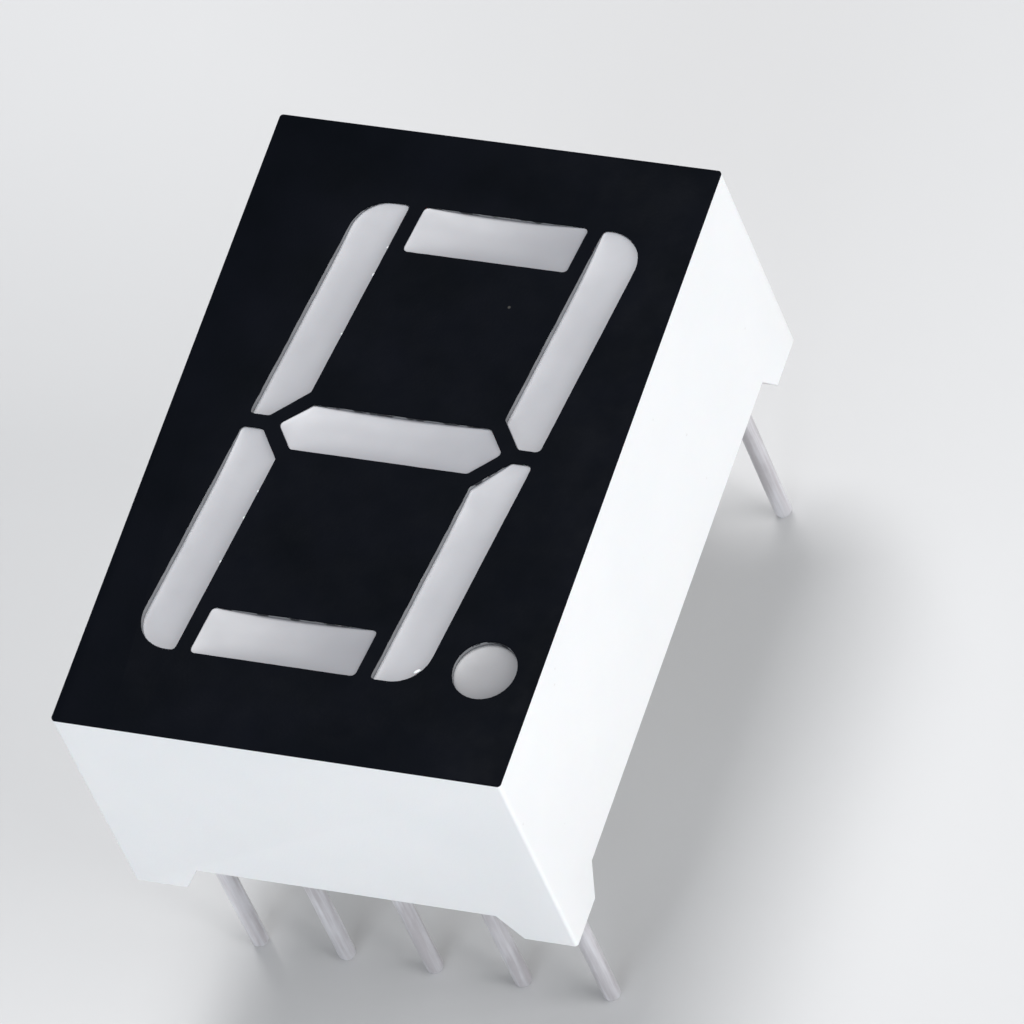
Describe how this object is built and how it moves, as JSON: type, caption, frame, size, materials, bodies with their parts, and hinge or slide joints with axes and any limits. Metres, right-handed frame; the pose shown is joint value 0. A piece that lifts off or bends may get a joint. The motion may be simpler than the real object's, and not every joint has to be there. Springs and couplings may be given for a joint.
{
  "type": "seven segment display",
  "caption": "Slanted digit and decimal point of milky resin in a black printed face, on a white moulded housing with corner feet and rows of tinned wire pins.",
  "frame": {"origin": "centre of the pin grid on the seating plane, where the four feet meet a circuit board", "axes": "+Z out of the printed face, +Y up the digit, +X to the digit's right, towards the decimal point"},
  "size_m": [0.0126, 0.019, 0.014],
  "materials": {
    "housing_white": "white moulded plastic, satin",
    "face_ink": "black screen-printed ink, satin",
    "segment_resin": "milky cast resin with a soft gloss",
    "seal_resin": "poured off-white resin, slightly uneven",
    "board": "green glass-fibre board",
    "copper": "copper foil",
    "silver_glue": "dull silver-filled glue",
    "solder": "bright solder",
    "chip": "polished semiconductor",
    "gold_wire": "gold bond wire",
    "tinned_wire": "dull tin with drawn streaks"
  },
  "bodies": {
    "root": {"housing": "housing_white", "face_print": "face_ink", "circuit_board": "board", "back_seal": "seal_resin", "common_track": "copper", "die_glue": "silver_glue", "solder_joints": "solder", "resin_a": "segment_resin", "resin_b": "segment_resin", "resin_c": "segment_resin", "resin_d": "segment_resin", "resin_e": "segment_resin", "resin_f": "segment_resin", "resin_g": "segment_resin", "resin_dot": "segment_resin", "track_a": "copper", "track_b": "copper", "track_c": "copper", "track_d": "copper", "track_e": "copper", "track_f": "copper", "track_g": "copper", "track_dot": "copper", "chip_a": "chip", "chip_b": "chip", "chip_c": "chip", "chip_d": "chip", "chip_e": "chip", "chip_f": "chip", "chip_g": "chip", "chip_dot": "chip", "bond_wire_a": "gold_wire", "bond_wire_b": "gold_wire", "bond_wire_c": "gold_wire", "bond_wire_d": "gold_wire", "bond_wire_e": "gold_wire", "bond_wire_f": "gold_wire", "bond_wire_g": "gold_wire", "bond_wire_dot": "gold_wire", "pin_1": "tinned_wire", "pin_2": "tinned_wire", "pin_3": "tinned_wire", "pin_4": "tinned_wire", "pin_5": "tinned_wire", "pin_6": "tinned_wire", "pin_7": "tinned_wire", "pin_8": "tinned_wire", "pin_9": "tinned_wire", "pin_10": "tinned_wire"}
  },
  "joints": []
}
